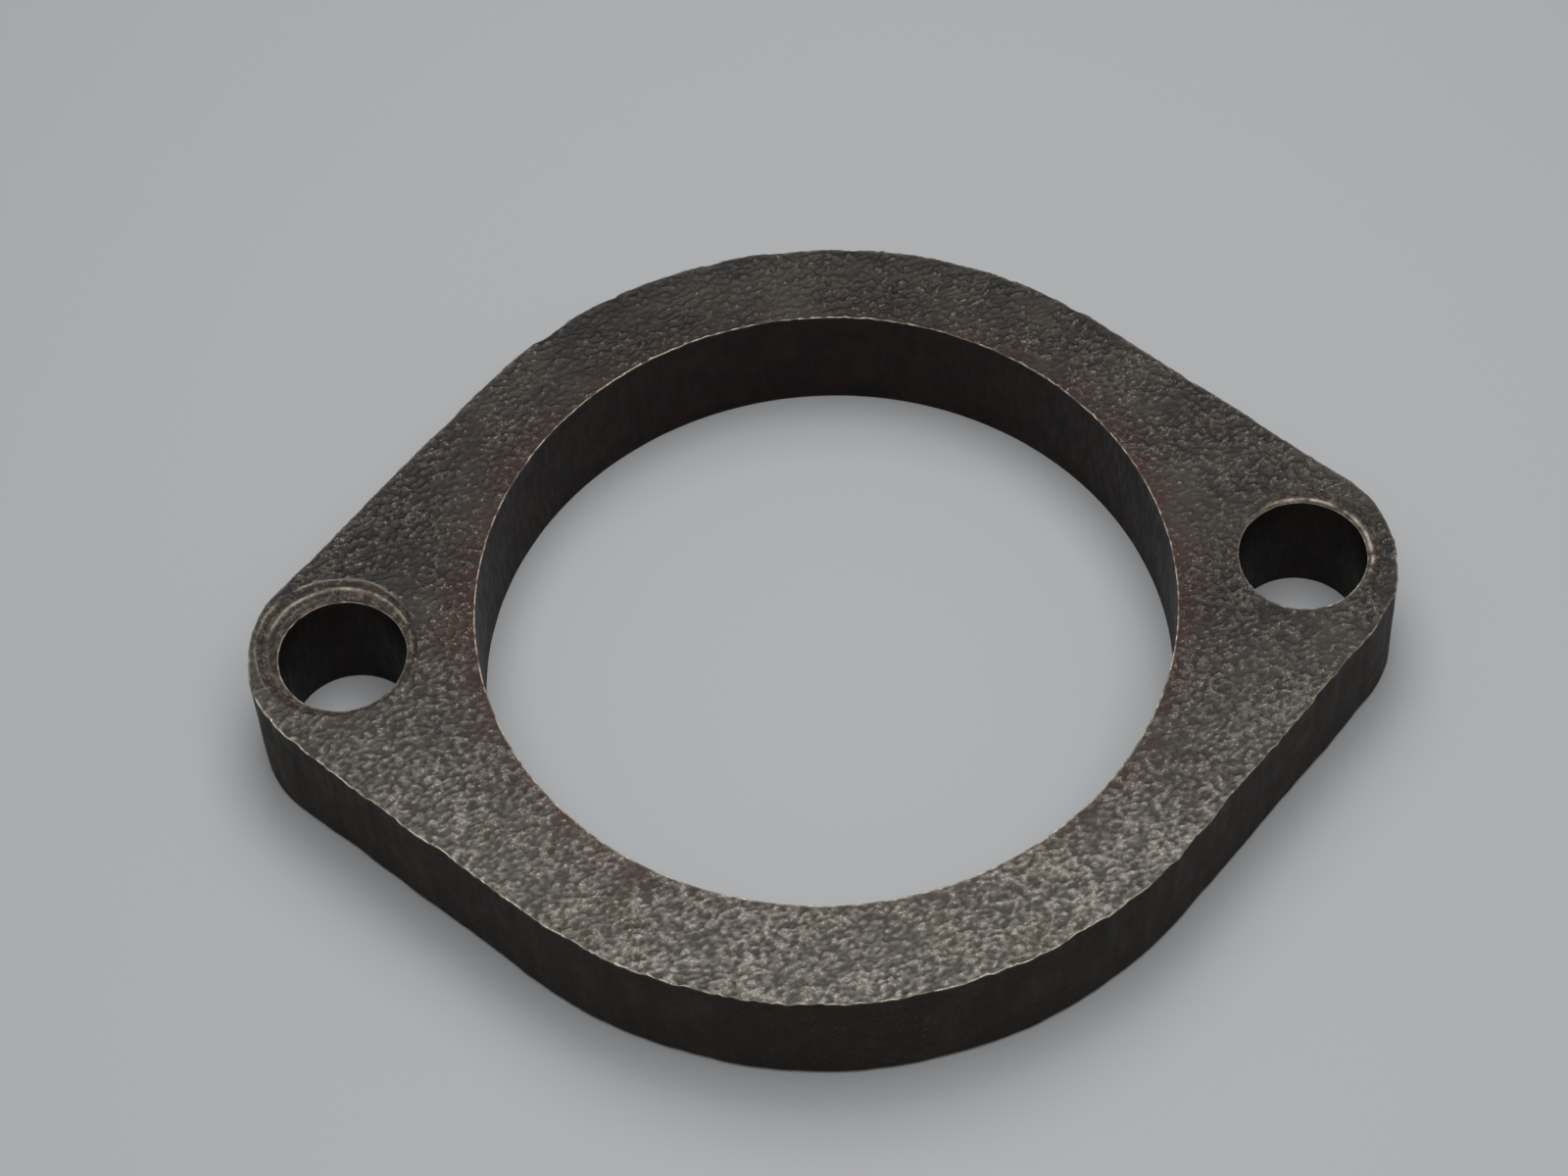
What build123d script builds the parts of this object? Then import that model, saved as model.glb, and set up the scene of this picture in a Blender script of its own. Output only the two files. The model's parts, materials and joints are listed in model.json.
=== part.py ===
from build123d import *
import math
import os

# Two-bolt oval flange plate: one thick plate with a large pipe bore in the
# middle and one bolt hole in each ear.
# The origin is the centre of the pipe bore, on the bottom face. +X runs along
# the line of the two bolt holes and +Z points up through the plate. All
# lengths are in millimetres.

# Driving dimensions
thickness = 12.0
bore_diameter = 60.0
ring_diameter = 76.8
bolt_hole_diameter = 11.0
bolt_pitch = 82.5
ear_radius = 10.9
ear_pitch = 76.9
bottom_edge_break = 0.4

# The blank was cut a little off centre from the bore, so the ring is wider on
# its -Y side. These are the centres of the outline and of the bolt line.
outline_centre = (-0.2, -0.8)
bolt_line_centre = (-0.2, -0.5)

# Shallow seats that nuts have worn into the top face round each bolt hole.
# Each seat sits off the hole's centre by (outboard, +Y).
seat_depth = 0.25
left_seat_diameter = 13.8
left_seat_shift = (0.5, 1.0)
right_seat_diameter = 12.6
right_seat_shift = (0.5, 0.5)

ring_radius = ring_diameter / 2
ear_x = ear_pitch / 2
hole_x = bolt_pitch / 2

LEFT = -1
RIGHT = 1


def tangent_points(side_x, side_y):
    """Ends of the straight flank that touches the ring and one ear."""
    angle = math.acos((ring_radius - ear_radius) / ear_x)
    normal_x = side_x * math.cos(angle)
    normal_y = side_y * math.sin(angle)
    on_ring = (ring_radius * normal_x, ring_radius * normal_y)
    on_ear = (side_x * ear_x + ear_radius * normal_x, ear_radius * normal_y)
    return on_ring, on_ear


def blank_face():
    """Oval blank: two ring arcs, two ear arcs and four straight flanks."""
    ring_ne, ear_ne = tangent_points(RIGHT, 1)
    ring_nw, ear_nw = tangent_points(LEFT, 1)
    ring_sw, ear_sw = tangent_points(LEFT, -1)
    ring_se, ear_se = tangent_points(RIGHT, -1)
    right_tip = (ear_x + ear_radius, 0)
    left_tip = (-ear_x - ear_radius, 0)
    with BuildLine() as outline:
        ThreePointArc(ring_ne, (0, ring_radius), ring_nw)
        Line(ring_nw, ear_nw)
        ThreePointArc(ear_nw, left_tip, ear_sw)
        Line(ear_sw, ring_sw)
        ThreePointArc(ring_sw, (0, -ring_radius), ring_se)
        Line(ring_se, ear_se)
        ThreePointArc(ear_se, right_tip, ear_ne)
        Line(ear_ne, ring_ne)
    return make_face(outline.edges())


def cut_worn_seat(side, diameter, shift):
    """Cut one worn seat into the top face, inside the current BuildPart."""
    shift_out, shift_y = shift
    seat_x = bolt_line_centre[0] + side * (hole_x + shift_out)
    seat_y = bolt_line_centre[1] + shift_y
    with Locations((seat_x, seat_y, thickness - seat_depth)):
        Cylinder(
            radius=diameter / 2,
            height=seat_depth,
            align=(Align.CENTER, Align.CENTER, Align.MIN),
            mode=Mode.SUBTRACT,
        )


def flange_plate():
    """The whole plate, with its bore, bolt holes and worn seats."""
    blank = blank_face()
    with BuildPart() as plate:
        with BuildSketch():
            with Locations(outline_centre):
                add(blank)
        extrude(amount=thickness)
        bottom_rim = plate.faces().sort_by(Axis.Z)[0].edges()
        chamfer(bottom_rim, bottom_edge_break)
        with BuildSketch():
            Circle(bore_diameter / 2)
            with Locations(bolt_line_centre):
                with GridLocations(bolt_pitch, 0, 2, 1):
                    Circle(bolt_hole_diameter / 2)
        extrude(amount=thickness, mode=Mode.SUBTRACT)
        cut_worn_seat(LEFT, left_seat_diameter, left_seat_shift)
        cut_worn_seat(RIGHT, right_seat_diameter, right_seat_shift)
    return plate.part


os.makedirs("parts", exist_ok=True)
export_step(flange_plate(), "parts/flange_plate.step")
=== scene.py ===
import json
import math

import bpy
import numpy as np
from mathutils import Matrix, Vector
from mathutils.geometry import delaunay_2d_cdt
from mathutils.kdtree import KDTree


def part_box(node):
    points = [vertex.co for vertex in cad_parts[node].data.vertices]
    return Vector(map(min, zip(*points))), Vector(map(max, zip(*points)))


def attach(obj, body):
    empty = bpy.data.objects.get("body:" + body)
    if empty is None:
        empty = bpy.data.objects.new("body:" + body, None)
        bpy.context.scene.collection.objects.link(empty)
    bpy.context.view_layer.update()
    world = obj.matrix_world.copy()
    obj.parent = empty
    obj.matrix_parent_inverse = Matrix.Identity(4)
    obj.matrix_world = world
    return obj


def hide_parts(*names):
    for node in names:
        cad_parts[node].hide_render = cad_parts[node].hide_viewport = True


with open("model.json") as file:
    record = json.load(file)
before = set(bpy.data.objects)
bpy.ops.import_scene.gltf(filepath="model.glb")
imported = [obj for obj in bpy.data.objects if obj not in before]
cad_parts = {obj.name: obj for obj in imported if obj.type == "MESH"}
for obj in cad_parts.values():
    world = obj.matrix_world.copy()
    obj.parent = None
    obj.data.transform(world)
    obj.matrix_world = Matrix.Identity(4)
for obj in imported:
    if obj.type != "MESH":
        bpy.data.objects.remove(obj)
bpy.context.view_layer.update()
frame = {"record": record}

# Shapes are worked out in millimetres and turned into metres when a mesh or a
# light is made. The flange stands on Z = 0 with its pipe bore on the Z axis.
MM = 0.001

# ---------------------------------------------------------------- the frame

low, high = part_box("flange_plate")
mounts = {mount["name"]: mount for mount in frame["record"]["mounts"]}

THICKNESS = (high[2] - low[2]) / MM
OUTLINE_CENTRE = np.array([(low[0] + high[0]) / 2, (low[1] + high[1]) / 2]) / MM
RING_RADIUS = (high[1] - low[1]) / 2 / MM
EAR_RADIUS = 10.9
EAR_X = (high[0] - low[0]) / 2 / MM - EAR_RADIUS
BORE_RADIUS = mounts["pipe_bore"]["dims"]["r_mm"]
HOLE_RADIUS = mounts["bolt_holes"]["dims"]["hole_r_mm"]
HOLE_X = mounts["bolt_holes"]["dims"]["spacing_x_mm"] / 2
HOLE_LINE = np.array(mounts["bolt_holes"]["pos_m"][:2]) / MM
LEFT_HOLE = HOLE_LINE + (-HOLE_X, 0)
RIGHT_HOLE = HOLE_LINE + (HOLE_X, 0)
HOLES = (
    (np.zeros(2), BORE_RADIUS),
    (LEFT_HOLE, HOLE_RADIUS),
    (RIGHT_HOLE, HOLE_RADIUS),
)

# Worn seats, as cut in the plate, each with the ring that a nut or bolt head has pressed
# into it. The sides are angles anticlockwise from +X: where the outer lip's painted
# highlight is brightest, where the ring's crown's painted highlight is brightest, and the
# middle of the worn part, or None where the seat is worn all the way round. The shines
# are how strong those painted highlights are.
LEFT_SEAT = {
    "hole": LEFT_HOLE,
    "centre": LEFT_HOLE + (-0.5, 1.0),
    "radius": 6.9,
    "pressed_centre": LEFT_HOLE + (-0.3, 0.7),
    "pressed_radius": 6.2,
    "lip_side": 115,
    "lip_shine": 0.4,
    "crown_side": 65,
    "crown_shine": 0.5,
    "crown_width": 0.12,
    "worn_side": None,
}
RIGHT_SEAT = {
    "hole": RIGHT_HOLE,
    "centre": RIGHT_HOLE + (0.5, 0.5),
    "radius": 6.3,
    "pressed_centre": RIGHT_HOLE + (0.1, 0.12),
    "pressed_radius": 5.75,
    "lip_side": 80,
    "lip_shine": 0.0,
    "crown_side": 40,
    "crown_shine": 0.62,
    "crown_width": 0.13,
    "worn_side": 48,
}
SEAT_DEPTH = 0.25
SEAT_LIP_HEIGHT = 0.055
# A polished patch on the left ear's tip: its middle from the hole, and its half sizes.
RUBBED_OFFSET = (-6.4, 1.5)
RUBBED_SIZE = (1.6, 4.2)

# Pebbles of the scale: their lengths, widths and heights, and the way that they lie.
PEBBLE_LENGTH, PEBBLE_WIDTH, PEBBLE_HEIGHT = 0.52, 0.31, 0.19
SMALL_LENGTH, SMALL_WIDTH, SMALL_HEIGHT = 0.27, 0.19, 0.07
PEBBLE_LEAN = math.radians(15)
ROLL_HEIGHT = 0.04
# The pebbles' mean height lies this far under the plate's top face.
SKIN_DROP = 0.09

# A nick in the outer edge goes this far in and down.
NICK_INSET = 0.12
NICK_DROP = 0.16
# Where the outer edge's burr is bare, as a painted highlight: towards the front and a little to the
# left.
BURR_DIRECTION = np.array([math.cos(math.radians(-115)), math.sin(math.radians(-115))])

# The bottom edge is broken by this much.
BOTTOM_BREAK = 0.4

# Rows of points from the top face out to the crest of the outer edge's burr: how far each
# is inside the edge, how high the burr lifts it, and how bare its metal is.
OUTER_TOP_ROWS = (
    (0.5, 0, 0),
    (0.35, 0, 0),
    (0.23, 0.01, 0),
    (0.13, 0.04, 0.25),
    (0.055, 0.08, 0.9),
    (0.0, 0.065, 1.0),
)
# Rows round the broken bottom edge and in along the bottom face: how far each is inside
# the edge, its height, and how bare its metal is.
OUTER_BOTTOM_ROWS = (
    (0.06, 0.30, 0.35),
    (0.2, 0.12, 0.2),
    (0.36, 0.02, 0.3),
    (0.55, 0.0, 0.0),
    (0.85, 0.0, 0.0),
)
# Rows at the bottom of a hole: how far each is outside the hole, and its height.
HOLE_BOTTOM_ROWS = ((0.03, 0.05), (0.1, 0.0), (0.4, 0.0))
# Rows down from the top edge of a wall, as distances from it.
OUTER_TOP_DROPS = [0.06, 0.14, 0.26, 0.45, 0.75, 1.2]
HOLE_TOP_DROPS = [0.06, 0.14, 0.3, 0.6, 1.0]

# Mesh spacings.
TOP_SPACING = 0.13
BOTTOM_SPACING = 0.4
RIM_SPACING = 0.18
HOLE_SPACING = RIM_SPACING * 0.8
WALL_SPACING = 0.8


# -------------------------------------------------------------------- noise

def lattice_random(ix, iy, iz, seed):
    """A number from 0 to 1 for each lattice point, the same on every run."""
    mask = 0xFFFFFFFF
    h = (ix * 374761393 + iy * 668265263 + iz * 1442695041 + seed * 1274126177) & mask
    h = ((h ^ (h >> 13)) * 1274126177) & mask
    h = ((h ^ (h >> 15)) * 2246822519) & mask
    return (h ^ (h >> 16)) / mask


def value_noise(points, size, seed):
    """Smooth noise from -1 to 1 at (N, 3) points, with features about size across."""
    scaled = points / size
    cell = np.floor(scaled).astype(np.int64)
    part = scaled - cell
    part = part * part * (3 - 2 * part)
    total = 0
    for dx in (0, 1):
        for dy in (0, 1):
            for dz in (0, 1):
                corner = lattice_random(cell[:, 0] + dx, cell[:, 1] + dy, cell[:, 2] + dz, seed)
                weight = np.abs(1 - dx - part[:, 0])
                weight = weight * np.abs(1 - dy - part[:, 1])
                weight = weight * np.abs(1 - dz - part[:, 2])
                total = total + corner * weight
    return total * 2 - 1


def layered_noise(points, size, seed, layers=3):
    """Several sizes of value_noise added up, each half as large and half as strong."""
    total = 0
    for layer in range(layers):
        total = total + value_noise(points, size / 2**layer, seed + layer) / 2**layer
    return total / (2 - 2.0 ** (1 - layers))


def flat(x, y):
    """(N, 3) points on Z = 0, for the noises."""
    return np.stack([x, y, np.zeros_like(x)], axis=1)


def bumps(u, v, seed):
    """Rounded bumps of random height, one in each unit cell, as a height from about 0 to 1."""
    cell_u = np.floor(u).astype(np.int64)
    cell_v = np.floor(v).astype(np.int64)
    zero = np.zeros_like(cell_u)
    total = 0
    for du in (-1, 0, 1):
        for dv in (-1, 0, 1):
            iu = cell_u + du
            iv = cell_v + dv
            peak_u = iu + lattice_random(iu, iv, zero, seed)
            peak_v = iv + lattice_random(iu, iv, zero, seed + 1)
            tall = lattice_random(iu, iv, zero, seed + 2)
            away = (u - peak_u) ** 2 + (v - peak_v) ** 2
            total = total + tall * np.maximum(0, 1 - away) ** 2
    return total / 1.2


def smooth_step(low_edge, high_edge, value):
    """0 below low_edge, 1 above high_edge, and an easy curve between them."""
    t = np.clip((value - low_edge) / (high_edge - low_edge), 0, 1)
    return t * t * (3 - 2 * t)


def facing(x, y, centre, degrees):
    """1 on the side of a centre at an angle anticlockwise from +X, down to 0 on the far side."""
    turn = np.arctan2(y - centre[1], x - centre[0]) - math.radians(degrees)
    return smooth_step(-0.6, 0.7, np.cos(turn))


# ----------------------------------------------------------- skin of the top

def pebble_height(x, y):
    """Height of the pebbled scale, in mm, with its mean near 0, and how far up a pebble it is."""
    p = flat(x, y)
    warp_x = x + 0.12 * value_noise(p, 0.9, 11)
    warp_y = y + 0.12 * value_noise(p, 0.9, 21)
    along = warp_x * math.cos(PEBBLE_LEAN) + warp_y * math.sin(PEBBLE_LEAN)
    across = -warp_x * math.sin(PEBBLE_LEAN) + warp_y * math.cos(PEBBLE_LEAN)
    large = bumps(along / PEBBLE_LENGTH, across / PEBBLE_WIDTH, 31)
    small = bumps(along / SMALL_LENGTH + 40, across / SMALL_WIDTH + 40, 41)
    patch = 0.85 + 0.5 * value_noise(p, 3.2, 51)
    roll = value_noise(p, 1.3, 61)
    height = patch * (PEBBLE_HEIGHT * (large - 0.5) + SMALL_HEIGHT * (small - 0.5))
    height = height + ROLL_HEIGHT * roll
    level = np.clip((0.65 * large + 0.35 * small) * (0.55 + 0.5 * patch), 0, 1)
    return height, level


def underside_height(skin):
    """Height of the underside over the ground: the pebbles' tops lie on it, the rest above."""
    return np.maximum(0, 0.3 * (0.05 - skin))


def seat_profile(x, y, seat):
    """Height change of a worn seat, how much of the grain it wipes out, and its bare metal and
    painted highlight.
    """
    hole, centre, radius = seat["hole"], seat["centre"], seat["radius"]
    pressed = seat["pressed_centre"]
    p = flat(x, y)
    edge = np.hypot(x - centre[0], y - centre[1]) - radius + 0.1 * value_noise(p, 1.6, 71)
    from_hole = np.hypot(x - hole[0], y - hole[1]) - HOLE_RADIUS
    worn = 1 - smooth_step(-0.1, 0.12, edge)
    if seat["worn_side"] is not None:
        worn = worn * facing(x, y, hole, seat["worn_side"])
    width = np.maximum(radius + 0.3 - np.hypot(*(centre - hole)), 0.1)
    reach = np.clip(from_hole / width, 0, 1)
    groove = np.exp(-((edge + 0.3) / 0.14) ** 2)
    lip = np.exp(-((edge - 0.02) / 0.07) ** 2)
    inner = np.hypot(x - pressed[0], y - pressed[1]) - seat["pressed_radius"]
    inner = inner + 0.06 * value_noise(p, 1.2, 76)
    sunk = 1 - smooth_step(-0.14, 0.08, inner)
    crown = np.exp(-((inner - 0.08) / seat["crown_width"]) ** 2)
    # painted highlight: the lip and crown are bare mostly on their given sides
    lip_share = facing(x, y, hole, seat["lip_side"])
    crown_share = facing(x, y, hole, seat["crown_side"])
    turned = np.sin(10.0 * edge + 1.5 * value_noise(p, 3.0, 75))
    rough = 0.03 * value_noise(p, 0.4, 77) + 0.015 * value_noise(p, 0.22, 78)
    height = -worn * SEAT_DEPTH * (0.45 + 0.3 * (1 - reach) + 0.35 * groove)
    height = height + worn * (0.03 * crown - 0.07 * sunk + 0.012 * turned + rough)
    height = height + SEAT_LIP_HEIGHT * lip * lip_share * (seat["lip_shine"] > 0)
    broken = np.clip(0.45 + 1.3 * value_noise(p, 2.2, 73), 0, 1)
    streaky = 0.6 + 0.8 * value_noise(p, 1.5, 74) + 0.7 * value_noise(p, 0.45, 79)
    # partly polish from the nut, partly painted highlight on one side of the crown
    polish_and_highlight = seat["crown_shine"] * crown * crown_share * np.clip(streaky, 0, 1)
    polish_and_highlight = polish_and_highlight + 0.07 * np.clip(turned, 0, 1) * broken
    bare = seat["lip_shine"] * lip * broken * lip_share + worn * (polish_and_highlight - 0.4 * groove)
    return height, worn, np.clip(bare, 0, 1)


def top_skin(x, y):
    """Height of the top face over its mean, and the masks that its material reads."""
    height, level = pebble_height(x, y)
    # painted shade: the pebbles at the back are made darker, with fewer painted glints
    level = level * (1 - 0.3 * smooth_step(20.0, 34.0, y))
    p = flat(x, y)
    change_l, worn_l, bare_l = seat_profile(x, y, LEFT_SEAT)
    change_r, worn_r, bare_r = seat_profile(x, y, RIGHT_SEAT)
    tip_x = (x - LEFT_HOLE[0] - RUBBED_OFFSET[0]) / RUBBED_SIZE[0]
    tip_y = (y - LEFT_HOLE[1] - RUBBED_OFFSET[1]) / RUBBED_SIZE[1]
    tip = np.hypot(tip_x, tip_y)
    rubbed = 1 - smooth_step(0.6, 1.2, tip + 0.2 * value_noise(p, 1.3, 81))
    worn = np.maximum(worn_l, worn_r)
    plain = (1 - 0.8 * worn) * (1 - 0.6 * rubbed)
    height = height * plain + change_l + change_r
    bare = np.maximum(bare_l, bare_r)
    return height, {"level": level, "worn": np.maximum(worn, 0.6 * rubbed), "bare": bare}


# -------------------------------------------------------------------- loops

def circle_loop(centre, radius, spacing):
    """Points evenly round a hole, anticlockwise, and the normals that point into the hole."""
    count = round(2 * math.pi * radius / spacing)
    turn = 2 * math.pi * np.arange(count) / count
    outward = np.stack([np.cos(turn), np.sin(turn)], axis=1)
    return centre + radius * outward, -outward


def ear_and_ring_loop(spacing):
    """Points evenly round the oval outline, anticlockwise, and their outward normals."""
    tilt = math.acos((RING_RADIUS - EAR_RADIUS) / EAR_X)
    right = (np.array([EAR_X, 0.0]), EAR_RADIUS, -tilt, tilt)
    top = (np.zeros(2), RING_RADIUS, tilt, math.pi - tilt)
    left = (np.array([-EAR_X, 0.0]), EAR_RADIUS, math.pi - tilt, math.pi + tilt)
    bottom = (np.zeros(2), RING_RADIUS, math.pi + tilt, 2 * math.pi - tilt)
    arcs = [right, top, left, bottom]
    points, normals = [], []
    for here, after in zip(arcs, arcs[1:] + arcs[:1]):
        centre, radius, start, stop = here
        count = round(radius * (stop - start) / spacing)
        turn = start + (stop - start) * np.arange(count) / count
        normal = np.stack([np.cos(turn), np.sin(turn)], axis=1)
        points.append(centre + radius * normal)
        normals.append(normal)
        # the straight flank to the next arc
        normal = np.array([math.cos(stop), math.sin(stop)])
        begin = centre + radius * normal
        end = after[0] + after[1] * normal
        count = round(np.linalg.norm(end - begin) / spacing)
        share = (np.arange(count) / count)[:, None]
        points.append(begin + (end - begin) * share)
        normals.append(np.repeat(normal[None, :], count, axis=0))
    return OUTLINE_CENTRE + np.concatenate(points), np.concatenate(normals)


def wall_drops(upper, lower):
    """Distances down a wall from its top edge: the given ones, and WALL_SPACING between them."""
    start, stop = upper[-1], lower[0]
    count = round((stop - start) / WALL_SPACING)
    between = [start + (stop - start) * (i + 1) / count for i in range(count - 1)]
    return upper + between + lower


# ------------------------------------------------------------------ the mesh

# Material slots of the mesh.
SCALE_SLOT, CUT_SLOT, BORED_SLOT = 0, 1, 2


class Shell:
    """Collects the points, masks and faces of the one closed mesh."""

    def __init__(self):
        self.points = []
        self.masks = {"level": [], "worn": [], "bare": [], "rust": [], "dust_and_sheen": []}
        self.faces = []
        self.slots = []
        self.count = 0

    def add_points(self, xyz, **masks):
        first = self.count
        self.points.append(xyz)
        masks = {"rust": rust_mask(xyz), "dust_and_sheen": dust_and_sheen_mask(xyz)} | masks
        for name, values in self.masks.items():
            values.append(np.broadcast_to(masks.get(name, 0.0), len(xyz)).astype(float))
        self.count += len(xyz)
        return np.arange(first, self.count)

    def add_strip(self, upper, lower, slot):
        """Quads between two closed rows of the same length."""
        a, b = upper, np.roll(upper, -1)
        c, d = np.roll(lower, -1), lower
        self.add_faces(np.stack([a, d, c, b], axis=1), slot)

    def add_rows(self, rows, top_count, bottom_count, wall_slot, inward=False):
        """Strips between a rim's rows, of which the first top_count lie on the top face and
        the last bottom_count on the bottom face. Those faces are scale, and the rest is wall.
        """
        for i, (upper, lower) in enumerate(zip(rows, rows[1:])):
            on_scale = i < top_count - 1 or i >= len(rows) - bottom_count
            pair = (lower, upper) if inward else (upper, lower)
            self.add_strip(*pair, SCALE_SLOT if on_scale else wall_slot)

    def add_faces(self, faces, slot):
        self.faces.extend(faces.tolist())
        self.slots.extend([slot] * len(faces))


def rust_mask(xyz):
    """Where the scale has rusted: round the pipe bore's edge, and in scattered patches."""
    x, y = xyz[:, 0], xyz[:, 1]
    from_bore = np.hypot(x, y) - BORE_RADIUS
    turn = np.arctan2(y, x)
    side = 0.35 + 0.65 * np.abs(np.cos(turn)) ** 1.5
    near = 1.15 * np.exp(-np.maximum(from_bore, 0) / 1.9) * side
    patches = smooth_step(0.15, 0.8, layered_noise(xyz, 7.0, 91))
    left_hole = np.exp(-np.hypot(x - LEFT_HOLE[0] - 8.5, y - LEFT_HOLE[1] - 1.0) / 2.2)
    broken = 0.7 + 0.5 * value_noise(xyz, 1.1, 95)
    return np.clip((near + 0.35 * patches + 0.55 * left_hole) * broken, 0, 1)


def dust_and_sheen_mask(xyz):
    """Pale dust on the scale, and painted sheen: both most on the front of the ring."""
    # partly dust, partly painted sheen: the scale is made paler towards the front of the ring
    front = smooth_step(5.0, -38.0, xyz[:, 1] + 0.12 * xyz[:, 0])
    cloud = 0.25 * layered_noise(xyz, 9.0, 97) + 0.18 * layered_noise(xyz, 2.4, 98)
    return np.clip(front + cloud * (0.3 + 0.7 * front), 0, 1)


def top_edge_rows(shell, table, loop, normal, wave, burr, calm, least_bare, nick=0.0):
    """Rows from the top face out to the crest of an edge's burr, and the crest's height."""
    rows = []
    for inset, lift, bare in table:
        place = loop + normal * (wave - inset)[:, None]
        skin, masks = top_skin(place[:, 0], place[:, 1])
        edge = 1 - smooth_step(0.0, 0.35, inset)
        z = THICKNESS - SKIN_DROP + skin * (1 - calm * edge) + lift * burr - NICK_DROP * nick * edge
        # bare metal of the burr, strongest on its painted highlight side
        shine = bare * (least_bare + (1 - least_bare) * burr)
        masks["bare"] = np.maximum(masks["bare"], shine)
        rows.append(shell.add_points(np.column_stack([place, z]), **masks))
    return rows, z


def outer_rim(shell):
    """The oval outer wall with its wavy burred top edge and broken bottom edge."""
    loop, normal = ear_and_ring_loop(RIM_SPACING)
    p = flat(loop[:, 0], loop[:, 1])
    wave = 0.14 * value_noise(p, 6.0, 101) + 0.12 * value_noise(p, 2.4, 102)
    wave = wave + 0.08 * value_noise(p, 0.9, 103) + 0.05 * value_noise(p, 0.45, 104)
    # the back edge is less battered than the front
    battered = 0.5 + 0.5 * smooth_step(0.4, -0.2, normal[:, 1])
    wave = wave * battered
    low_wave = 0.12 * value_noise(p, 7.0, 105) + 0.05 * value_noise(p, 1.6, 106)
    nick = battered * smooth_step(0.45, 0.85, value_noise(p, 3.1, 107))
    wave = wave - NICK_INSET * nick
    burr = 0.4 + 0.8 * value_noise(p, 1.5, 108) + 1.1 * value_noise(p, 0.5, 109)
    burr = np.clip(burr, 0, 1)
    # painted highlight: the burr is bare mostly on the BURR_DIRECTION side
    burr = burr * (0.08 + 0.92 * smooth_step(0.15, 0.8, normal @ BURR_DIRECTION))
    burr = burr * (1 - nick)
    rows, crest = top_edge_rows(
        shell, OUTER_TOP_ROWS, loop, normal, wave, burr, calm=0.35, least_bare=0.1, nick=nick)
    # down the wall, then in along the bottom face
    wall_end = THICKNESS - BOTTOM_BREAK
    for drop in wall_drops(OUTER_TOP_DROPS, [wall_end - 0.25, wall_end - 0.08]):
        share = drop / THICKNESS
        z = THICKNESS - drop + (crest - THICKNESS) * (1 - smooth_step(0, 2.0, drop))
        out = wave * (1 - share) + low_wave * share
        out = out - 0.05 * smooth_step(0.0, 0.5, drop)
        xyz = np.column_stack([loop + normal * out[:, None], z])
        dents = 0.035 * value_noise(xyz * (1, 1, 0.6), 1.5, 111)
        dents = dents + 0.014 * value_noise(xyz, 0.5, 112)
        xyz[:, :2] += normal * dents[:, None]
        # painted highlight: the top of the wall is bare where the burr is
        bare = math.exp(-drop / 0.08) * (0.1 + 0.9 * burr)
        rows.append(shell.add_points(xyz, bare=bare, level=0.5, rust=0.8 * rust_mask(xyz)))
    for inset, z_row, bare in OUTER_BOTTOM_ROWS:
        out = low_wave - 0.05 - inset
        place = loop + normal * out[:, None]
        skin, level = pebble_height(place[:, 0], place[:, 1])
        xyz = np.column_stack([place, z_row + underside_height(skin)])
        rows.append(shell.add_points(xyz, bare=bare, level=level))
    shell.add_rows(rows, top_count=len(OUTER_TOP_ROWS), bottom_count=3, wall_slot=CUT_SLOT)
    return rows[0], rows[-1]


def hole_rim(shell, centre, radius, spacing, seed, lip, wobble, bright_side=None):
    """The wall of a round hole, with a burr of height lip round its top edge.

    If bright_side is given, the burr is brightest on that side, as a painted highlight.
    """
    loop, normal = circle_loop(centre, radius, spacing)
    p = flat(loop[:, 0], loop[:, 1])
    wave = wobble * (value_noise(p, 2.5, seed) + 0.6 * value_noise(p, 0.6, seed + 1))
    burr = 0.4 + 0.5 * value_noise(p, 2.2, seed + 2) + 1.1 * value_noise(p, 0.5, seed + 3)
    burr = np.clip(burr, 0, 1)
    # painted highlight: the burr is bare mostly on bright_side
    if bright_side is not None:
        burr = burr * (0.1 + 0.5 * facing(loop[:, 0], loop[:, 1], centre, bright_side))
    # as in OUTER_TOP_ROWS
    table = (
        (0.42, 0, 0),
        (0.28, 0, 0),
        (0.18, 0.01, 0),
        (0.1, 0.6 * lip, 0.35),
        (0.045, lip, 0.9),
        (0.0, 0.75 * lip, 0.9),
    )
    rows, crest = top_edge_rows(
        shell, table, loop, normal, wave, burr, calm=0.4, least_bare=0.15)
    for drop in wall_drops(HOLE_TOP_DROPS, [THICKNESS - 0.3, THICKNESS - 0.12]):
        fade = 1 - smooth_step(0, 2.0, drop)
        z = THICKNESS - drop + (crest - THICKNESS) * fade
        out = wave * (0.3 + 0.7 * fade) - 0.03 * smooth_step(0.0, 0.3, drop)
        xyz = np.column_stack([loop + normal * out[:, None], z])
        dents = 0.014 * value_noise(xyz * (1, 1, 0.35), 1.8, seed + 5)
        xyz[:, :2] += normal * dents[:, None]
        # painted highlight: the top of the wall is bare where the burr is
        bare = math.exp(-drop / 0.05) * (0.1 + 0.8 * burr)
        rows.append(shell.add_points(xyz, bare=bare, level=0.5))
    for outset, z_row in HOLE_BOTTOM_ROWS:
        place = loop - normal * (outset + 0.03)
        skin, level = pebble_height(place[:, 0], place[:, 1])
        # the first row is still the edge, and has no pebbles
        z = z_row + underside_height(skin) * (outset > HOLE_BOTTOM_ROWS[0][0])
        xyz = np.column_stack([place, z])
        rows.append(shell.add_points(xyz, level=level))
    shell.add_rows(
        rows, top_count=len(table), bottom_count=2, wall_slot=BORED_SLOT, inward=True)
    return rows[0], rows[-1]


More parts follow.
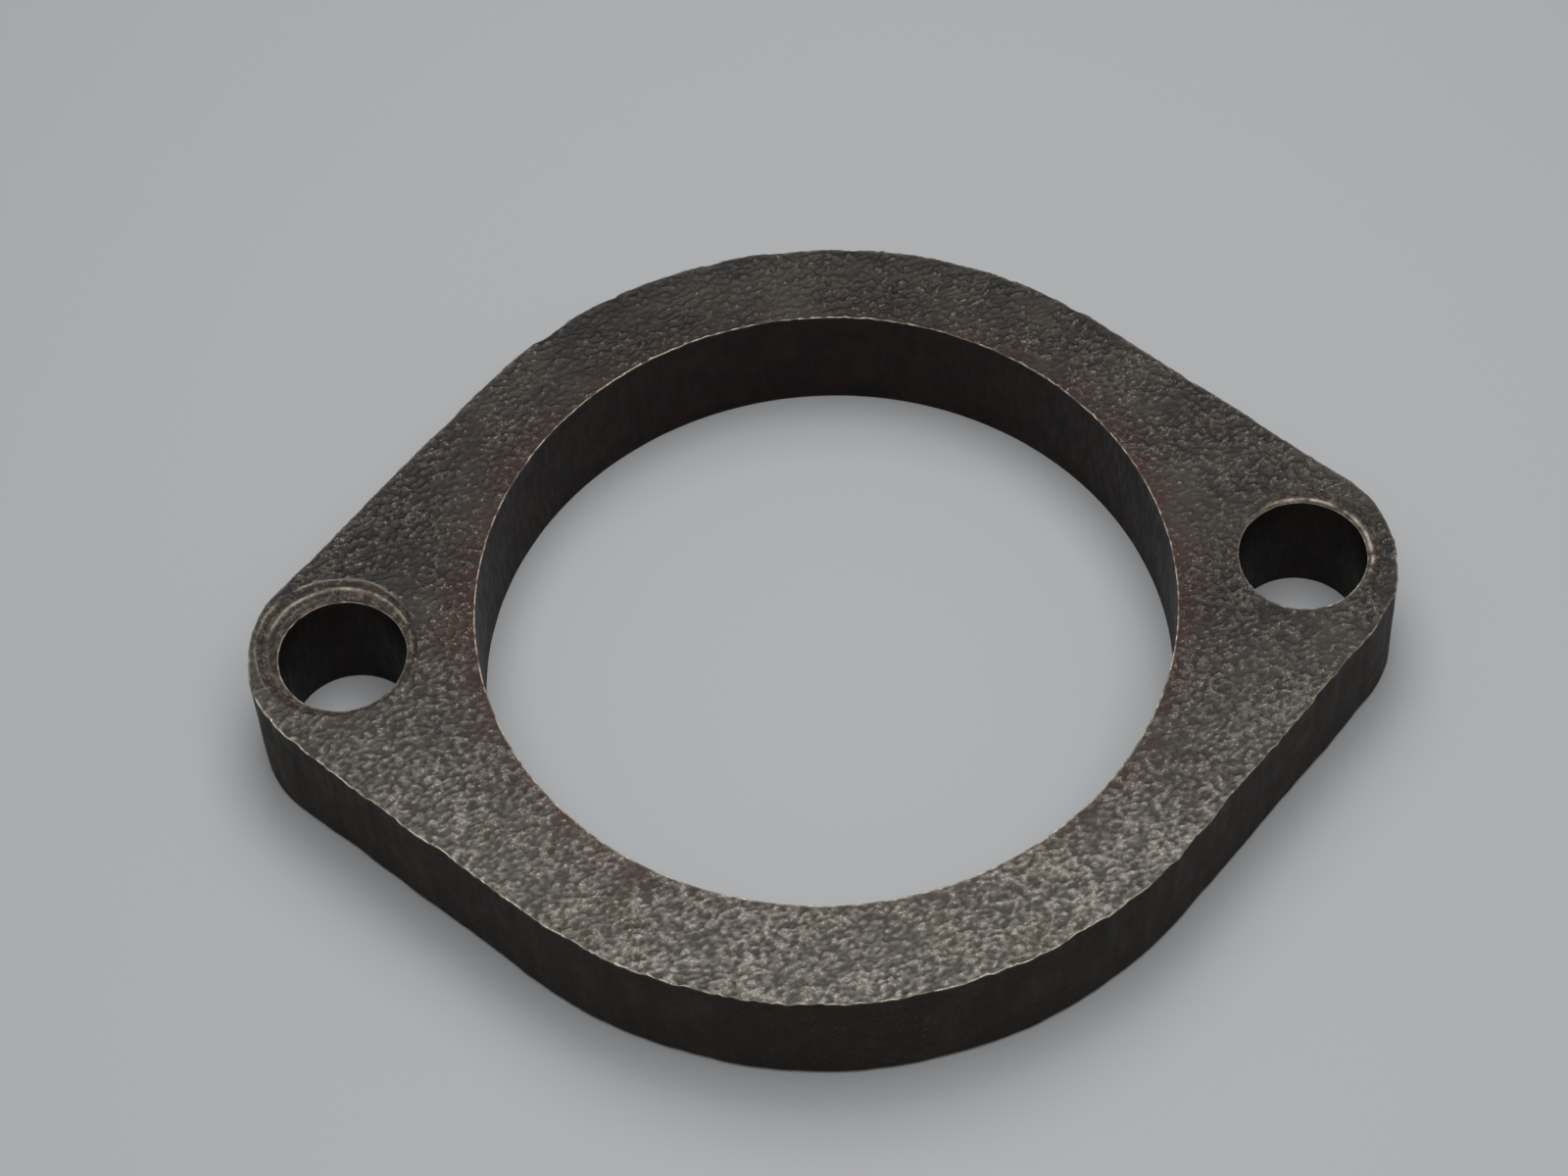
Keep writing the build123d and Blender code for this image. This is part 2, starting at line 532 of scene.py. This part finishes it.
def hex_points(spacing, seed):
    """Points in a jittered triangular grid over the whole outline's box."""
    rng = np.random.default_rng(seed)
    row_step = spacing * math.sqrt(3) / 2
    half_x = EAR_X + EAR_RADIUS
    xs = np.arange(-half_x, half_x, spacing)
    ys = np.arange(-RING_RADIUS, RING_RADIUS, row_step)
    grid_x, grid_y = np.meshgrid(xs, ys)
    grid_x = grid_x + (np.arange(len(ys)) % 2)[:, None] * spacing / 2
    points = np.stack([grid_x.ravel(), grid_y.ravel()], axis=1) + OUTLINE_CENTRE
    return points + rng.uniform(-0.18, 0.18, points.shape) * spacing


def inside_plate(points, margin):
    """True where a point is inside the outline and outside the holes by the margin."""
    x = np.abs(points[:, 0] - OUTLINE_CENTRE[0])
    y = np.abs(points[:, 1] - OUTLINE_CENTRE[1])
    tilt = math.acos((RING_RADIUS - EAR_RADIUS) / EAR_X)
    along = -x * math.sin(tilt) + y * math.cos(tilt)
    flank = x * math.cos(tilt) + y * math.sin(tilt) - RING_RADIUS
    ring = np.hypot(x, y) - RING_RADIUS
    ear = np.hypot(x - EAR_X, y) - EAR_RADIUS
    outside = np.where(along > 0, ring, np.where(along < -EAR_X * math.sin(tilt), ear, flank))
    keep = outside < -margin
    for centre, radius in HOLES:
        keep &= np.hypot(*(points - centre).T) > radius + margin
    return keep


def turn_of(xy, triangles):
    """Above 0 where a triangle's corners run anticlockwise."""
    a, b, c = (xy[triangles[:, i]] for i in range(3))
    u, v = b - a, c - a
    return u[:, 0] * v[:, 1] - u[:, 1] * v[:, 0]


def fill_face(shell, rims, spacing, seed, upward, extra=()):
    """Triangles over one flat side, between the rims' rows, with the outer rim first."""
    all_points = np.concatenate(shell.points)
    rim_points = [all_points[rim][:, :2] for rim in rims]
    fixed = np.concatenate(rim_points + list(extra))
    tree = KDTree(len(fixed))
    for i, (x, y) in enumerate(fixed):
        tree.insert((x, y, 0), i)
    tree.balance()
    grid = hex_points(spacing, seed)
    grid = grid[inside_plate(grid, 0.2)]
    distance = np.array([tree.find((x, y, 0))[2] for x, y in grid])
    grid = grid[(distance > 0.62 * spacing) & inside_plate(grid, 0.5)]
    loose = np.concatenate([*extra, grid])
    xy = np.concatenate(rim_points + [loose])
    edges = []
    loop_of = np.full(len(xy), -1)
    start = 0
    for number, rim in enumerate(rims):
        size = len(rim)
        edges += [(start + i, start + (i + 1) % size) for i in range(size)]
        loop_of[start:start + size] = number
        start += size
    convex_hull, merge_distance, give_ids = 0, 1e-7, True
    result = delaunay_2d_cdt(
        [Vector(p) for p in xy], edges, [], convex_hull, merge_distance, give_ids)
    order = np.array([made[0] for made in result[3]])
    triangles = order[np.array(result[2])]
    # a triangle with all its corners on one rim is plate only if it is on the rim's solid
    # side: its corners, in the rim's order, run anticlockwise on the outer rim and
    # clockwise on a hole's
    loops = loop_of[triangles]
    one_loop = (loops[:, 0] >= 0) & (loops[:, 0] == loops[:, 1]) & (loops[:, 1] == loops[:, 2])
    turn = turn_of(xy, np.sort(triangles, axis=1))
    solid = np.where(loops[:, 0] == 0, turn > 0, turn < 0)
    triangles = triangles[~one_loop | solid]
    wrong = (turn_of(xy, triangles) > 0) != upward
    triangles[wrong] = triangles[wrong][:, ::-1]
    if upward:
        skin, masks = top_skin(loose[:, 0], loose[:, 1])
        z = THICKNESS - SKIN_DROP + skin
    else:
        skin, level = pebble_height(loose[:, 0], loose[:, 1])
        z = underside_height(skin)
        masks = {"level": level}
    xyz = np.column_stack([loose, z])
    inner = shell.add_points(xyz, **masks)
    numbers = np.concatenate([*rims, inner])
    shell.add_faces(numbers[triangles], SCALE_SLOT)


def seat_rings(seat):
    """Extra points close to a seat's lip, so that the lip is crisp."""
    rings = []
    for offset in (-0.3, -0.14, -0.02, 0.09, 0.2):
        ring, _ = circle_loop(seat["centre"], seat["radius"] + offset, TOP_SPACING)
        rings.append(ring[inside_plate(ring, 0.62)])
    return rings


def flange_mesh():
    """The whole flange as one closed mesh, in metres."""
    shell = Shell()
    bore, left, right = HOLES
    rims = [
        outer_rim(shell),
        hole_rim(shell, *bore, RIM_SPACING, seed=201, lip=0.07, wobble=0.018),
        hole_rim(shell, *left, HOLE_SPACING, seed=301, lip=0.03, wobble=0.03, bright_side=150),
        hole_rim(shell, *right, HOLE_SPACING, seed=401, lip=0.03, wobble=0.03, bright_side=-50),
    ]
    top_rims, bottom_rims = zip(*rims)
    extra = seat_rings(LEFT_SEAT) + seat_rings(RIGHT_SEAT)
    fill_face(shell, top_rims, TOP_SPACING, seed=5, upward=True, extra=extra)
    fill_face(shell, bottom_rims, BOTTOM_SPACING, seed=6, upward=False)
    mesh = bpy.data.meshes.new("flange_plate_surface")
    mesh.from_pydata((np.concatenate(shell.points) * MM).tolist(), [], shell.faces)
    for name, values in shell.masks.items():
        layer = mesh.attributes.new(name, "FLOAT", "POINT")
        layer.data.foreach_set("value", np.concatenate(values).astype(np.float32))
    mesh.polygons.foreach_set("material_index", np.array(shell.slots, dtype=np.int32))
    mesh.polygons.foreach_set("use_smooth", np.ones(len(shell.faces), dtype=bool))
    mesh.update()
    return mesh


# ---------------------------------------------------------------- materials

class Nodes:
    """Short calls for making and joining the nodes of one material."""

    def __init__(self, name):
        self.material = bpy.data.materials.new(name)
        self.material.use_nodes = True
        self.tree = self.material.node_tree
        self.shader = self.tree.nodes["Principled BSDF"]

    def node(self, kind, **settings):
        made = self.tree.nodes.new(kind)
        for key, value in settings.items():
            setattr(made, key, value)
        return made

    def link(self, value, socket):
        if isinstance(value, bpy.types.NodeSocket):
            self.tree.links.new(value, socket)
        else:
            socket.default_value = value

    def millimetres(self, stretch=(1, 1, 1)):
        """Object coordinates, in millimetres."""
        place = self.node("ShaderNodeTexCoord")
        scale = self.node("ShaderNodeMapping")
        scale.inputs["Scale"].default_value = [s / MM for s in stretch]
        self.link(place.outputs["Object"], scale.inputs["Vector"])
        return scale.outputs["Vector"]

    def mask(self, name):
        return self.node("ShaderNodeAttribute", attribute_name=name).outputs["Fac"]

    def noise(self, size, detail=3.0, rough=0.55, stretch=(1, 1, 1), distortion=0.0):
        """Noise from 0 to 1 with features about size millimetres across."""
        made = self.node("ShaderNodeTexNoise")
        self.link(self.millimetres(stretch), made.inputs["Vector"])
        made.inputs["Scale"].default_value = 1 / size
        made.inputs["Detail"].default_value = detail
        made.inputs["Roughness"].default_value = rough
        made.inputs["Distortion"].default_value = distortion
        return made.outputs["Fac"]

    def math(self, operation, a, b=0.0):
        made = self.node("ShaderNodeMath", operation=operation)
        self.link(a, made.inputs[0])
        self.link(b, made.inputs[1])
        return made.outputs[0]

    def remap(self, value, low_in, high_in, low_out=0.0, high_out=1.0):
        made = self.node("ShaderNodeMapRange", interpolation_type="SMOOTHSTEP")
        self.link(value, made.inputs["Value"])
        made.inputs["From Min"].default_value = low_in
        made.inputs["From Max"].default_value = high_in
        made.inputs["To Min"].default_value = low_out
        made.inputs["To Max"].default_value = high_out
        return made.outputs["Result"]

    def mix(self, share, a, b):
        made = self.node("ShaderNodeMix", data_type="RGBA")
        self.link(share, made.inputs["Factor"])
        for value, socket in ((a, made.inputs["A"]), (b, made.inputs["B"])):
            value = (*value, 1.0) if isinstance(value, tuple) else value
            self.link(value, socket)
        return made.outputs["Result"]

    def blend(self, share, a, b):
        """A number between a and b."""
        made = self.node("ShaderNodeMix", data_type="FLOAT")
        self.link(share, made.inputs["Factor"])
        self.link(a, made.inputs["A"])
        self.link(b, made.inputs["B"])
        return made.outputs["Result"]

    def bump(self, height, depth_mm, normal=None):
        made = self.node("ShaderNodeBump")
        made.inputs["Distance"].default_value = depth_mm * MM
        self.link(height, made.inputs["Height"])
        if normal is not None:
            self.link(normal, made.inputs["Normal"])
        return made.outputs["Normal"]


# Colours are linear RGB.
BARE_METAL = (0.48, 0.43, 0.345)
DULL_METAL = (0.080, 0.060, 0.041)
SEAT_BROWN = (0.0085, 0.0050, 0.0032)
SCALE_DARK = (0.0034, 0.0025, 0.0019)
# SCALE_PALE is a painted highlight on the pebbles' crests, and GLINT painted glints on their tops.
SCALE_MID = (0.0115, 0.0084, 0.0062)
SCALE_PALE = (0.046, 0.037, 0.029)
GLINT = (0.34, 0.315, 0.27)
# Colours of the front of the ring: dust, made paler still as painted sheen.
DUST_SHEEN_CREASE = (0.026, 0.0220, 0.0175)
DUST_SHEEN_DARK = (0.117, 0.106, 0.089)
DUST_SHEEN_PALE = (0.246, 0.226, 0.196)
SCALE_OLIVE = (0.042, 0.037, 0.025)
RUST = (0.030, 0.0085, 0.0042)
RUST_DARK = (0.016, 0.0074, 0.0050)
CUT_DARK = (0.0058, 0.0037, 0.0021)
CUT_MID = (0.0165, 0.0116, 0.0077)
CUT_CLOUD = (0.026, 0.0195, 0.0140)
CUT_GRAIN = (0.064, 0.050, 0.037)
BORED_DARK = (0.0034, 0.0017, 0.0010)
BORED_MID = (0.0100, 0.0058, 0.0040)
BORED_MARK = (0.0170, 0.0120, 0.0090)
FLOOR_GREY = (0.250, 0.256, 0.262)
BARE_ROUGHNESS = 0.38
BARE_METALLIC = 0.9


def finish_with_metal(n, colour, roughness, metallic, normal):
    """Bare burrs and worn metal, partly painted highlight, over the colour, then everything into
    the shader.
    """
    speck = n.noise(0.35, 2.0)
    bare = n.math("MULTIPLY", n.mask("bare"), n.remap(speck, 0.3, 0.6, 0.55, 1.0))
    colour = n.mix(bare, colour, BARE_METAL)
    n.link(colour, n.shader.inputs["Base Color"])
    n.link(n.blend(bare, roughness, BARE_ROUGHNESS), n.shader.inputs["Roughness"])
    n.link(n.blend(bare, metallic, BARE_METALLIC), n.shader.inputs["Metallic"])
    n.link(normal, n.shader.inputs["Normal"])


def mill_scale():
    """Pebbled scale: dark in the creases, greyer on the pebbles, painted highlights on their
    crests, rust-tinted by the bore.
    """
    n = Nodes("mill_scale")
    level = n.mask("level")
    rust = n.mask("rust")
    dust_and_sheen = n.mask("dust_and_sheen")
    worn = n.mask("worn")
    grain = n.noise(0.24, 4.0, 0.7)
    cloud = n.noise(9.0, 4.0, 0.6)
    drift = n.noise(2.6, 3.0, 0.6, distortion=0.4)
    # painted highlight: the pebbles' crests are made pale
    crest = n.math("MULTIPLY", n.remap(level, 0.35, 0.85), n.remap(grain, 0.35, 0.65))
    scale = n.mix(n.remap(level, 0.15, 0.7), SCALE_DARK, SCALE_MID)
    scale = n.mix(crest, scale, SCALE_PALE)
    # dust and painted sheen: paler colours towards the front of the ring
    dust_and_sheen_colour = n.mix(n.remap(level, 0.1, 0.6), DUST_SHEEN_CREASE, DUST_SHEEN_DARK)
    dust_and_sheen_colour = n.mix(n.remap(crest, 0.1, 0.8), dust_and_sheen_colour, DUST_SHEEN_PALE)
    colour = n.mix(dust_and_sheen, scale, dust_and_sheen_colour)
    colour = n.mix(n.remap(cloud, 0.42, 0.68, 0.0, 0.4), colour, SCALE_OLIVE)
    colour = n.mix(n.remap(drift, 0.5, 0.75, 0.0, 0.45), colour, RUST_DARK)
    tint = n.math("MULTIPLY", rust, n.remap(grain, 0.3, 0.65, 0.55, 1.0))
    colour = n.mix(n.math("MULTIPLY", tint, 0.9), colour, RUST)
    # painted glints: bright specks on the pebble tops, more of them with the dust and painted sheen
    speck = n.remap(n.noise(0.17, 1.0, 0.5), 0.56, 0.68)
    speck = n.math("MULTIPLY", speck, n.remap(level, 0.3, 0.7))
    speck = n.math("MULTIPLY", speck, n.blend(dust_and_sheen, 0.36, 0.74))
    colour = n.mix(speck, colour, GLINT)
    seat_grain = n.remap(n.noise(0.6, 4.0, 0.8), 0.46, 0.66)
    seat_colour = n.mix(seat_grain, SEAT_BROWN, DULL_METAL)
    colour = n.mix(worn, colour, seat_colour)
    roughness = n.blend(n.remap(grain, 0.35, 0.7), 0.54, 0.38)
    roughness = n.math("ADD", roughness, n.math("MULTIPLY", rust, 0.22))
    roughness = n.blend(worn, roughness, 0.62)
    n.shader.inputs["Specular IOR Level"].default_value = 0.27
    normal = n.bump(n.noise(0.09, 3.0, 0.6), 0.014)
    normal = n.bump(n.noise(0.18, 3.0, 0.65), 0.055, normal)
    finish_with_metal(n, colour, roughness, 0.05, normal)
    return n.material


def cut_wall():
    """Cut outer wall: nearly black brown, with fine grain, faint marks and rusty patches."""
    n = Nodes("cut_wall")
    cloud = n.noise(5.0, 4.0, 0.6)
    streak = n.noise(1.6, 4.0, 0.65, stretch=(1, 1, 0.5))
    fine = n.noise(0.3, 4.0, 0.7)
    colour = n.mix(n.remap(streak, 0.35, 0.7), CUT_DARK, CUT_MID)
    colour = n.mix(n.remap(cloud, 0.45, 0.7, 0.0, 0.6), colour, CUT_CLOUD)
    colour = n.mix(n.remap(fine, 0.54, 0.70, 0.0, 0.7), colour, CUT_GRAIN)
    patches = n.remap(n.noise(3.2, 4.0, 0.65), 0.48, 0.66, 0.0, 0.7)
    rust = n.math("ADD", n.mask("rust"), patches)
    rust = n.math("MULTIPLY", rust, n.remap(fine, 0.3, 0.65, 0.4, 0.9))
    colour = n.mix(rust, colour, RUST_DARK)
    roughness = n.blend(n.remap(streak, 0.3, 0.7), 0.5, 0.68)
    normal = n.bump(fine, 0.06)
    normal = n.bump(n.noise(0.1, 2.0), 0.006, normal)
    n.shader.inputs["Specular IOR Level"].default_value = 0.16
    finish_with_metal(n, colour, roughness, 0.0, normal)
    return n.material


def bored_wall():
    """Walls of the bore and bolt holes: smooth dark brown with faint marks down the wall."""
    n = Nodes("bored_wall")
    cloud = n.noise(4.0, 4.0, 0.6)
    marks = n.noise(0.5, 3.0, 0.6, stretch=(1, 1, 0.2))
    rings = n.noise(0.35, 2.0, 0.5, stretch=(0.08, 0.08, 1))
    colour = n.mix(n.remap(cloud, 0.35, 0.7), BORED_DARK, BORED_MID)
    colour = n.mix(n.remap(marks, 0.5, 0.8, 0.0, 0.5), colour, BORED_MARK)
    rust = n.math("MULTIPLY", n.mask("rust"), n.remap(cloud, 0.3, 0.6, 0.2, 0.6))
    colour = n.mix(rust, colour, RUST_DARK)
    roughness = n.blend(n.remap(marks, 0.3, 0.7), 0.45, 0.6)
    normal = n.bump(marks, 0.012)
    normal = n.bump(rings, 0.008, normal)
    n.shader.inputs["Specular IOR Level"].default_value = 0.12
    finish_with_metal(n, colour, roughness, 0.0, normal)
    return n.material


def floor_material():
    """Plain pale grey floor."""
    n = Nodes("pale_floor")
    n.shader.inputs["Base Color"].default_value = (*FLOOR_GREY, 1)
    n.shader.inputs["Roughness"].default_value = 0.6
    return n.material


# -------------------------------------------------------------------- stage

# The camera and the lights look at a target from a direction: azimuth is in degrees
# anticlockwise from +X, elevation in degrees above the floor, and distance in mm.
CAMERA_LENS = 111.1
CAMERA_TARGET = (-3.4, 1.6, THICKNESS)
CAMERA_AZIMUTH = -92.64
CAMERA_ELEVATION = 56.43
CAMERA_DISTANCE = 413.9
CAMERA_ROLL = math.radians(-3.75)

KEY_TARGET = (0, 0, THICKNESS)
KEY_LIGHT = {"azimuth": -70, "elevation": 82, "distance": 650, "size": 650, "watts": 4.9}
SHEEN_TARGET = (0, -RING_RADIUS, THICKNESS)
SHEEN_LIGHT = {"azimuth": 86, "elevation": 62, "distance": 300, "size": 170, "watts": 0.38}
SKY_COLOUR = (0.97, 0.98, 1.0)
SKY_STRENGTH = 0.24

FLOOR_SIZE = 4000


def aim_at(thing, place, target, roll=0.0):
    """Put a light or the camera at a place, in mm, looking at a target, and roll it there."""
    place, target = Vector(place) * MM, Vector(target) * MM
    turn = (target - place).to_track_quat("-Z", "Y").to_matrix()
    turn = turn @ Matrix.Rotation(roll, 3, "Z")
    thing.matrix_world = Matrix.Translation(place) @ turn.to_4x4()


def from_direction(target, azimuth, elevation, distance):
    """A place at a distance from the target."""
    a, e = math.radians(azimuth), math.radians(elevation)
    back = Vector((math.cos(a) * math.cos(e), math.sin(a) * math.cos(e), math.sin(e)))
    return Vector(target) + back * distance


def add_camera():
    data = bpy.data.cameras.new("camera")
    data.sensor_width = 36
    data.lens = CAMERA_LENS
    camera = bpy.data.objects.new("camera", data)
    bpy.context.scene.collection.objects.link(camera)
    place = from_direction(CAMERA_TARGET, CAMERA_AZIMUTH, CAMERA_ELEVATION, CAMERA_DISTANCE)
    aim_at(camera, place, CAMERA_TARGET, CAMERA_ROLL)
    bpy.context.scene.camera = camera


def add_area_light(name, target, azimuth, elevation, distance, size, watts):
    data = bpy.data.lights.new(name, "AREA")
    data.shape = "DISK"
    data.size = size * MM
    data.energy = watts
    light = bpy.data.objects.new(name, data)
    bpy.context.scene.collection.objects.link(light)
    aim_at(light, from_direction(target, azimuth, elevation, distance), target)


def add_floor(material):
    mesh = bpy.data.meshes.new("floor")
    half = FLOOR_SIZE / 2 * MM
    corners = [(-half, -half, 0), (half, -half, 0), (half, half, 0), (-half, half, 0)]
    mesh.from_pydata(corners, [], [(0, 1, 2, 3)])
    mesh.materials.append(material)
    floor = bpy.data.objects.new("floor", mesh)
    bpy.context.scene.collection.objects.link(floor)


def set_world(colour, strength):
    world = bpy.data.worlds.new("studio")
    world.use_nodes = True
    background = world.node_tree.nodes["Background"]
    background.inputs["Color"].default_value = (*colour, 1)
    background.inputs["Strength"].default_value = strength
    bpy.context.scene.world = world


# ---------------------------------------------------------------- the scene

scene = bpy.context.scene
scene.view_settings.view_transform = "Standard"

flange = bpy.data.objects.new("flange_plate_surface", flange_mesh())
scene.collection.objects.link(flange)
for material in (mill_scale(), cut_wall(), bored_wall()):
    flange.data.materials.append(material)
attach(flange, "root")
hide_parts("flange_plate")

add_floor(floor_material())
set_world(SKY_COLOUR, SKY_STRENGTH)
add_area_light("key", KEY_TARGET, **KEY_LIGHT)
add_area_light("sheen", SHEEN_TARGET, **SHEEN_LIGHT)
add_camera()
